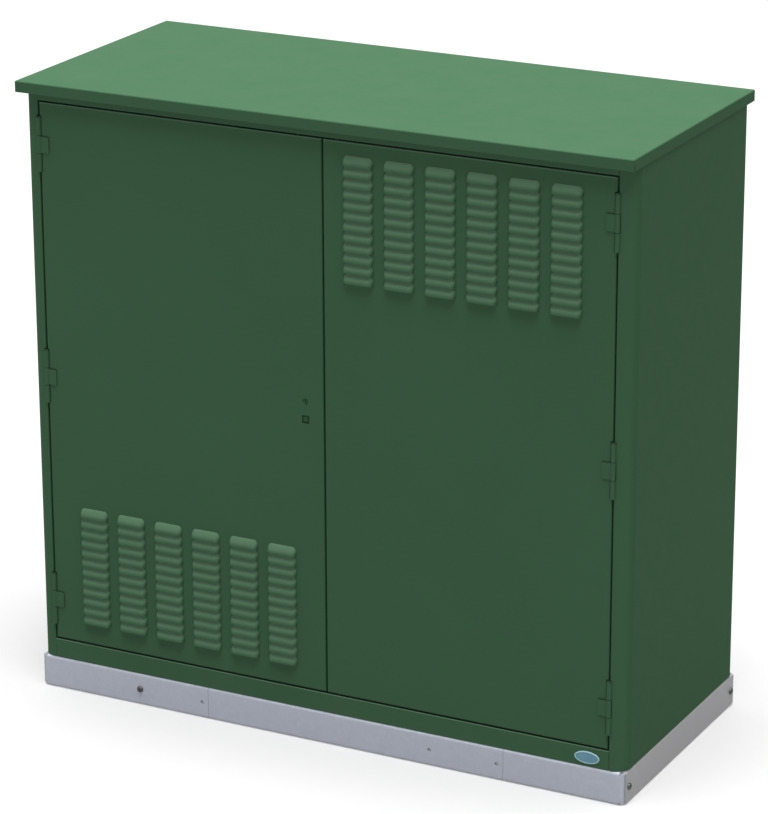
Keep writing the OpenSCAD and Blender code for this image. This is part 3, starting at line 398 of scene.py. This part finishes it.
def pick_faces(test):
    """Select the faces of the piece in hand whose middle and normal pass the test."""
    bpy.ops.mesh.select_mode(type="FACE")
    bpy.ops.mesh.select_all(action="DESELECT")
    mesh = bmesh.from_edit_mesh(bpy.context.object.data)
    for face in mesh.faces:
        face.select_set(bool(test(face.calc_center_median(), face.normal)))
    bmesh.update_edit_mesh(bpy.context.object.data)


def pick_edges(test):
    """Select the edges of the piece in hand whose middle and direction pass the test."""
    bpy.ops.mesh.select_mode(type="EDGE")
    bpy.ops.mesh.select_all(action="DESELECT")
    mesh = bmesh.from_edit_mesh(bpy.context.object.data)
    for edge in mesh.edges:
        first, last = (end.co for end in edge.verts)
        edge.select_set(bool(test((first + last) / 2, (last - first).normalized())))
    bmesh.update_edit_mesh(bpy.context.object.data)


def bevel(width, steps=3):
    bpy.ops.mesh.bevel(offset=width, segments=steps, affect="EDGES", clamp_overlap=True)


def push(x=0.0, y=0.0, z=0.0):
    """Extrude the picked faces."""
    bpy.ops.mesh.extrude_region_move(TRANSFORM_OT_translate={"value": (x, y, z)})


def close_piece(smooth=35.0):
    """Back to object mode, normals outwards, flat faces kept flat."""
    piece = bpy.context.object
    if piece.mode != "EDIT":
        bpy.ops.object.mode_set(mode="EDIT")
    bpy.ops.mesh.select_all(action="SELECT")
    bpy.ops.mesh.remove_doubles(threshold=1e-6)
    bpy.ops.mesh.normals_make_consistent(inside=False)
    bpy.ops.object.mode_set(mode="OBJECT")
    bpy.ops.object.shade_smooth_by_angle(angle=math.radians(smooth))
    return piece


def combine(piece, other, operation):
    """Unite a piece with another or cut it by another, which is used up."""
    bpy.ops.object.select_all(action="DESELECT")
    piece.select_set(True)
    bpy.context.view_layer.objects.active = piece
    joint = piece.modifiers.new("combine", "BOOLEAN")
    joint.operation = operation
    joint.solver = "EXACT"
    joint.object = other
    bpy.ops.object.modifier_apply(modifier=joint.name)
    bpy.data.objects.remove(other)
    return piece


def copies_of(pattern, name, places):
    """One piece made of turned and moved copies of a pattern that points along +Z from its seat."""
    made = []
    for place, along in places:
        one = pattern.copy()
        one.data = pattern.data.copy()
        turn = Vector(along).to_track_quat("Z", "Y").to_matrix().to_4x4()
        one.data.transform(Matrix.Translation(place) @ turn)
        bpy.context.scene.collection.objects.link(one)
        made.append(one)
    bpy.data.objects.remove(pattern)
    bpy.ops.object.select_all(action="DESELECT")
    for one in made:
        one.select_set(True)
    bpy.context.view_layer.objects.active = made[0]
    if len(made) > 1:
        bpy.ops.object.join()
    made[0].name = name
    return made[0]


def give(piece, body, slot, *nodes):
    """Finish, body and CAD node of a piece."""
    if not piece.data.materials:
        piece.data.materials.append(FINISH[slot])
    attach(piece, body)
    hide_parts(*nodes)


def solids_of(name):
    """Lowest and highest corner of each separate solid of a CAD node, from left to right."""
    mesh = bmesh.new()
    mesh.from_mesh(frame["nodes"][name].data)
    bmesh.ops.remove_doubles(mesh, verts=mesh.verts, dist=1e-6)
    left, boxes = set(mesh.verts), []
    while left:
        reached = {left.pop()}
        edge_of_search = list(reached)
        while edge_of_search:
            for link in edge_of_search.pop().link_edges:
                for end in link.verts:
                    if end not in reached:
                        reached.add(end)
                        edge_of_search.append(end)
        left -= reached
        corners = [[pick(end.co[axis] for end in reached) for axis in range(3)] for pick in (min, max)]
        boxes.append(tuple(Vector(corner) for corner in corners))
    mesh.free()
    return sorted(boxes, key=lambda box: tuple(round(value, 4) for value in box[0]))


def middle(box):
    return (box[0] + box[1]) / 2


# ---------- fasteners ----------

def round_head(shank, length, head, tall, socket):
    """Low domed screw with a hexagon socket, its seat at z = 0 and its head up; diameters and lengths."""
    piece = begin("bar", "pattern", (0, 0, tall / 2), (head / 2, tall), sides=40)
    pick_edges(lambda at, way: at.z > tall * 0.9)
    bevel(tall * 0.82, 6)
    pick_faces(lambda at, normal: normal.z < -0.9)
    bpy.ops.mesh.inset(thickness=(head - shank) / 2)
    push(z=-length)
    bpy.ops.mesh.inset(thickness=shank * 0.12)
    bpy.ops.transform.translate(value=(0, 0, -shank * 0.08))
    close_piece()
    begin("bar", "socket", (0, 0, tall), (socket / 2 / math.cos(math.pi / 6), tall * 1.1), sides=6)
    cutter = close_piece()
    combine(piece, cutter, "DIFFERENCE")
    bpy.ops.object.shade_smooth_by_angle(angle=math.radians(35))
    return piece


def hexagon_head(across, tall, flange, flange_tall):
    """Flanged hexagon, its seat at z = 0: the corners of its top are turned down."""
    piece = begin("bar", "pattern", (0, 0, flange_tall / 2), (flange / 2, flange_tall), sides=40)
    pick_edges(lambda at, way: at.z > flange_tall * 0.9)
    bevel(flange_tall * 0.6, 3)
    close_piece()
    begin("bar", "hexagon", (0, 0, tall / 2), (across / 2 / math.cos(math.pi / 6), tall), sides=6)
    hexagon = close_piece()
    begin("bar", "cone", (0, 0, tall / 2), (across / 2 * 1.08, tall), sides=40)
    pick_edges(lambda at, way: at.z > tall * 0.9)
    bevel(across * 0.07, 3)
    cone = close_piece()
    combine(hexagon, cone, "INTERSECT")
    return combine(piece, hexagon, "UNION")


def flange_bolt(thick, length):
    piece = hexagon_head(1.5 * thick, 0.75 * thick, 2 * thick, thick / 5)
    begin("bar", "shank", (0, 0, -length / 2 + thick / 20), (thick / 2, length + thick / 10), sides=32)
    pick_edges(lambda at, way: at.z < -length * 0.95)
    bevel(thick * 0.1, 1)
    shank = close_piece()
    combine(piece, shank, "UNION")
    bpy.ops.object.shade_smooth_by_angle(angle=math.radians(35))
    return piece


def flange_nut(thick):
    piece = hexagon_head(1.5 * thick, 0.85 * thick, 2 * thick, thick / 5)
    begin("bar", "bore", (0, 0, thick / 2), (thick / 2 + 0.00005, 2 * thick), sides=32)
    bore = close_piece()
    combine(piece, bore, "DIFFERENCE")
    bpy.ops.object.shade_smooth_by_angle(angle=math.radians(35))
    return piece


def outward(box):
    """Side of the cabinet that a plinth screw looks to."""
    at = middle(box)
    if abs(at.x) > 0.6:
        return Vector((math.copysign(1, at.x), 0, 0))
    return Vector((0, -1, 0))


def make_plinth_screws():
    """Dull button heads on the outside of the plinth."""
    boxes = solids_of("plinth_screws")
    shank, head, tall, socket = 0.006, 0.013, 0.004, 0.004
    places = []
    for box in boxes:
        way = outward(box)
        half = max((box[1] - box[0])[axis] * abs(way[axis]) for axis in range(3)) / 2
        places.append((middle(box) + way * (half - tall), way))
    length = 2 * half - tall
    screws = copies_of(round_head(shank, length, head, tall, socket), "plinth_button_screws", places)
    screws.data.materials.append(FINISH["dull_zinc"])
    give(screws, "cabinet", "zinc", "plinth_screws")


def make_base_bolts():
    bolt_d = 0.010
    boxes = solids_of("base_bolts")
    seat = boxes[0][1].z - 0.75 * bolt_d
    length = seat - boxes[0][0].z
    places = [((middle(box).x, middle(box).y, seat), (0, 0, 1)) for box in boxes]
    give(copies_of(flange_bolt(bolt_d, length), "base_flange_bolts", places), "cabinet", "zinc", "base_bolts")
    boxes = solids_of("base_nuts")
    places = [((middle(box).x, middle(box).y, box[1].z), (0, 0, -1)) for box in boxes]
    give(copies_of(flange_nut(bolt_d), "base_flange_nuts", places), "cabinet", "zinc", "base_nuts")


def make_roof_nuts():
    boxes = solids_of("roof_nuts")
    places = [((middle(box).x, middle(box).y, box[1].z), (0, 0, -1)) for box in boxes]
    give(copies_of(flange_nut(0.008), "roof_flange_nuts", places), "cabinet", "zinc", "roof_nuts")


def make_screws(node_name, name, slot, shank, head, tall, socket, way):
    """Round-headed screws on the solids of a node, their heads looking along way."""
    way = Vector(way)
    places = []
    for box in solids_of(node_name):
        half = sum((box[1] - box[0])[axis] * abs(way[axis]) for axis in range(3)) / 2
        places.append((middle(box) + way * (half - tall), way))
    pattern = round_head(shank, 2 * half - tall, head, tall, socket)
    give(copies_of(pattern, name, places), "cabinet", slot, node_name)


def make_back_rivets():
    boxes = solids_of("back_rivets")
    size = boxes[0][1] - boxes[0][0]
    pattern = begin("bar", "pattern", (0, 0, size.y / 2), (size.x / 2, size.y), sides=28)
    pick_edges(lambda at, way: at.z > size.y * 0.9)
    bevel(size.y * 0.85, 5)
    pick_faces(lambda at, normal: normal.z > 0.99)
    bpy.ops.mesh.inset(thickness=size.x * 0.16)
    push(z=-size.y * 0.3)
    close_piece()
    places = [(Vector((middle(box).x, box[0].y, middle(box).z)), (0, 1, 0)) for box in boxes]
    give(copies_of(pattern, "back_pop_rivets", places), "cabinet", "painted_steel", "back_rivets")


# ---------- single pieces ----------

def shrink(at, across, up, back=0.0):
    """Extrude the picked face of the badge, drawn in towards its middle and moved back."""
    push(y=back)
    bpy.ops.transform.resize(value=(across, 1.0, up), center_override=at)


def make_badge():
    """Oval plate: a paler rim round a plain blue face."""
    low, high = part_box("badge")
    low, high = Vector(low), Vector(high)
    size, at = high - low, (low + high) / 2
    bpy.ops.object.select_all(action="DESELECT")
    bpy.ops.mesh.primitive_cylinder_add(
        vertices=72, radius=0.5, depth=1.0, location=at, rotation=(math.pi / 2, 0, 0))
    badge = bpy.context.object
    badge.name = "oval_badge"
    badge.scale = (size.x, size.z, size.y)
    bpy.ops.object.transform_apply(location=True, rotation=True, scale=True)
    bpy.ops.object.mode_set(mode="EDIT")
    face_y = low.y + size.y * 0.02

    def front(spot, normal):
        return normal.y < -0.9 and spot.y < face_y

    pick_edges(lambda spot, way: spot.y < face_y)
    bevel(size.y * 0.35, 3)
    pick_faces(front)
    shrink(at, 0.93, 0.87)
    shrink(at, 0.985, 0.97, size.y * 0.3)
    for step in (0.08, 0.06, 0.04):
        shrink(at, 0.75, 0.75, -size.y * step)
    half_x, half_z = size.x * BADGE_FACE[0], size.z * BADGE_FACE[1]
    badge.data.materials.append(FINISH["badge_rim"])
    badge.data.materials.append(FINISH["badge"])
    pick_faces(lambda spot, normal: normal.y < -0.5 and spot.y < at.y + size.y * 0.2
               and ((spot.x - at.x) / half_x) ** 2 + ((spot.z - at.z) / half_z) ** 2 < 1.0)
    badge.active_material_index = 1
    bpy.ops.object.material_slot_assign()
    close_piece(40)
    give(badge, "cabinet", "badge", "badge")


def make_grommets():
    """Blind rubber grommets: a lip, a sunk membrane with a pull ring, and a neck through the plate."""
    boxes = solids_of("gland_grommets")
    size = boxes[0][1] - boxes[0][0]
    plate_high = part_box("gland_plate")[1][2]
    lip = boxes[0][1].z - plate_high
    neck = plate_high - boxes[0][0].z
    lip_overhang = 0.0051
    pattern = begin("bar", "pattern", (0, 0, lip / 2), (size.x / 2, lip), sides=48)
    pick_edges(lambda at, way: at.z > lip * 0.9)
    bevel(lip * 0.6, 4)
    pick_faces(lambda at, normal: normal.z > 0.99)
    bpy.ops.mesh.inset(thickness=size.x * 0.09)
    push(z=-lip * 1.2)
    bpy.ops.mesh.inset(thickness=size.x * 0.10)
    push(z=lip * 0.25)
    bpy.ops.mesh.inset(thickness=size.x * 0.04)
    push(z=-lip * 0.25)
    pick_faces(lambda at, normal: normal.z < -0.99)
    bpy.ops.mesh.inset(thickness=lip_overhang)
    push(z=-neck)
    close_piece()
    places = [((middle(box).x, middle(box).y, plate_high), (0, 0, 1)) for box in boxes]
    give(copies_of(pattern, "blind_grommets", places), "cabinet", "rubber", "gland_grommets")


def make_board():
    """Plywood board with eased edges and corners."""
    low, high = (Vector(corner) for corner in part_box("mounting_board"))
    board = begin("box", "plywood_board", (low + high) / 2, high - low)
    corner_r, eased_edge = 0.012, 0.0015
    pick_edges(lambda at, way: abs(way.y) > 0.9)
    bevel(corner_r, 5)
    pick_edges(lambda at, way: abs(way.y) < 0.1 and min(abs(at.y - low.y), abs(at.y - high.y)) < 1e-5)
    bevel(eased_edge, 2)
    close_piece()
    give(board, "cabinet", "plywood", "mounting_board")


def make_earth_bar():
    """Brass bar with eased edges, on two ribbed posts."""
    low, high = (Vector(corner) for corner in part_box("earth_bar"))
    bar = begin("box", "earth_terminal_bar", (low + high) / 2, high - low)
    pick_edges(lambda at, way: True)
    bevel(0.0006, 2)
    close_piece()
    give(bar, "cabinet", "brass", "earth_bar")
    boxes = solids_of("earth_posts")
    size = boxes[0][1] - boxes[0][0]
    pattern = begin("bar", "pattern", (0, 0, size.y / 2), (size.z / 2, size.y), sides=6)
    pick_edges(lambda at, way: abs(way.z) > 0.9)
    bpy.ops.mesh.subdivide(number_cuts=5)
    rib = size.y / 6
    pick_faces(lambda at, normal: abs(normal.z) < 0.1 and int(at.z / rib) % 2 == 1)
    bpy.ops.mesh.inset(thickness=0.0, depth=-size.z * 0.07)
    close_piece()
    places = [(Vector((middle(box).x, box[1].y, middle(box).z)), (0, -1, 0)) for box in boxes]
    give(copies_of(pattern, "earth_post_insulators", places), "cabinet", "insulator", "earth_posts")


def make_document_pocket():
    """Moulded pocket, open at the top, with round corners and a thick lip."""
    low, high = (Vector(corner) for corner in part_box("document_pocket"))
    wall = 0.002
    pocket = begin("box", "moulded_pocket", (low + high) / 2, high - low)
    pick_edges(lambda at, way: abs(way.z) > 0.9 and at.y > (low.y + high.y) / 2)
    bevel(0.009, 5)
    pick_edges(lambda at, way: abs(way.z) < 0.1 and at.z < low.z + 1e-4 and at.y > low.y + 1e-3)
    bevel(0.006, 4)
    pick_faces(lambda at, normal: normal.z > 0.99)
    bpy.ops.mesh.inset(thickness=wall)
    push(z=-(high.z - low.z - wall))
    pick_edges(lambda at, way: abs(way.z) < 0.1 and at.z > high.z - 1e-4)
    bevel(0.0007, 2)
    close_piece()
    give(pocket, "left_door", "pocket_plastic", "document_pocket")


make_badge()
make_plinth_screws()
make_base_bolts()
make_roof_nuts()
make_screws("board_bolts", "board_round_bolts", "zinc", 0.008, 0.016, 0.004, 0.005, (0, -1, 0))
make_screws("gland_screws", "gland_plate_screws", "zinc", 0.005, 0.009, 0.0025, 0.003, (0, 0, 1))
make_screws("earth_screws", "earth_terminal_screws", "brass", 0.005, 0.012, 0.004, 0.004, (0, -1, 0))
make_back_rivets()
make_grommets()
make_board()
make_earth_bar()
make_document_pocket()


# ---------- studio ----------

def make_floor():
    """Wide pale floor that the cabinet stands on."""
    bpy.ops.object.select_all(action="DESELECT")
    bpy.ops.mesh.primitive_circle_add(vertices=96, radius=60.0, fill_type="NGON", location=(0, 0, 0))
    floor = bpy.context.object
    floor.name = "floor"
    material, tree, shader = new_finish("pale_floor", roughness=0.9, Specular_IOR_Level=0.1)
    shader.inputs["Base Color"].default_value = (0.50, 0.50, 0.50, 1)
    floor.data.materials.append(material)


def make_sky(seen, lit):
    """Even surround: pale where the camera sees it, and a soft grey fill for the object."""
    world = bpy.data.worlds.new("studio")
    world.use_nodes = True
    tree = world.node_tree
    back = tree.nodes["Background"]
    back.inputs["Color"].default_value = (1, 1, 1, 1)
    rays = node(tree, "ShaderNodeLightPath").outputs["Is Camera Ray"]
    tree.links.new(ramp(tree, rays, 0.0, 1.0, lit, seen), back.inputs["Strength"])
    bpy.context.scene.world = world


def make_sun(name, direction, strength, spread, shadow=True):
    """Distant light shining along direction; spread is its width in degrees."""
    light = bpy.data.lights.new(name, "SUN")
    light.energy = strength
    light.use_shadow = shadow
    light.angle = math.radians(spread)
    holder = bpy.data.objects.new(name, light)
    holder.rotation_mode = "QUATERNION"
    holder.rotation_quaternion = Vector(direction).to_track_quat("-Z", "Y")
    bpy.context.scene.collection.objects.link(holder)


def make_camera():
    """Long lens, looking down on the front from the right."""
    camera = bpy.data.cameras.new("camera")
    camera.lens = 161.73
    camera.sensor_width = 36.0
    camera.clip_end = 200.0
    holder = bpy.data.objects.new("camera", camera)
    holder.location = (3.0321, -5.8610, 2.8727)
    forward = Vector((-0.43429, 0.83968, -0.32608))
    turn = forward.to_track_quat("-Z", "Y")
    lean = Quaternion((0, 0, 1), math.radians(-0.178))
    holder.rotation_mode = "QUATERNION"
    holder.rotation_quaternion = turn @ lean
    bpy.context.scene.collection.objects.link(holder)
    bpy.context.scene.camera = holder


make_floor()
make_sky(seen=1.0, lit=0.22)
FROM_ABOVE = (-0.06, 0.09, -1.0)
make_sun("even_light", FROM_ABOVE, 1.5, 20.0, shadow=False)
make_sun("overhead", FROM_ABOVE, 5.1, 50.0)
make_camera()
bpy.context.scene.view_settings.view_transform = "Standard"
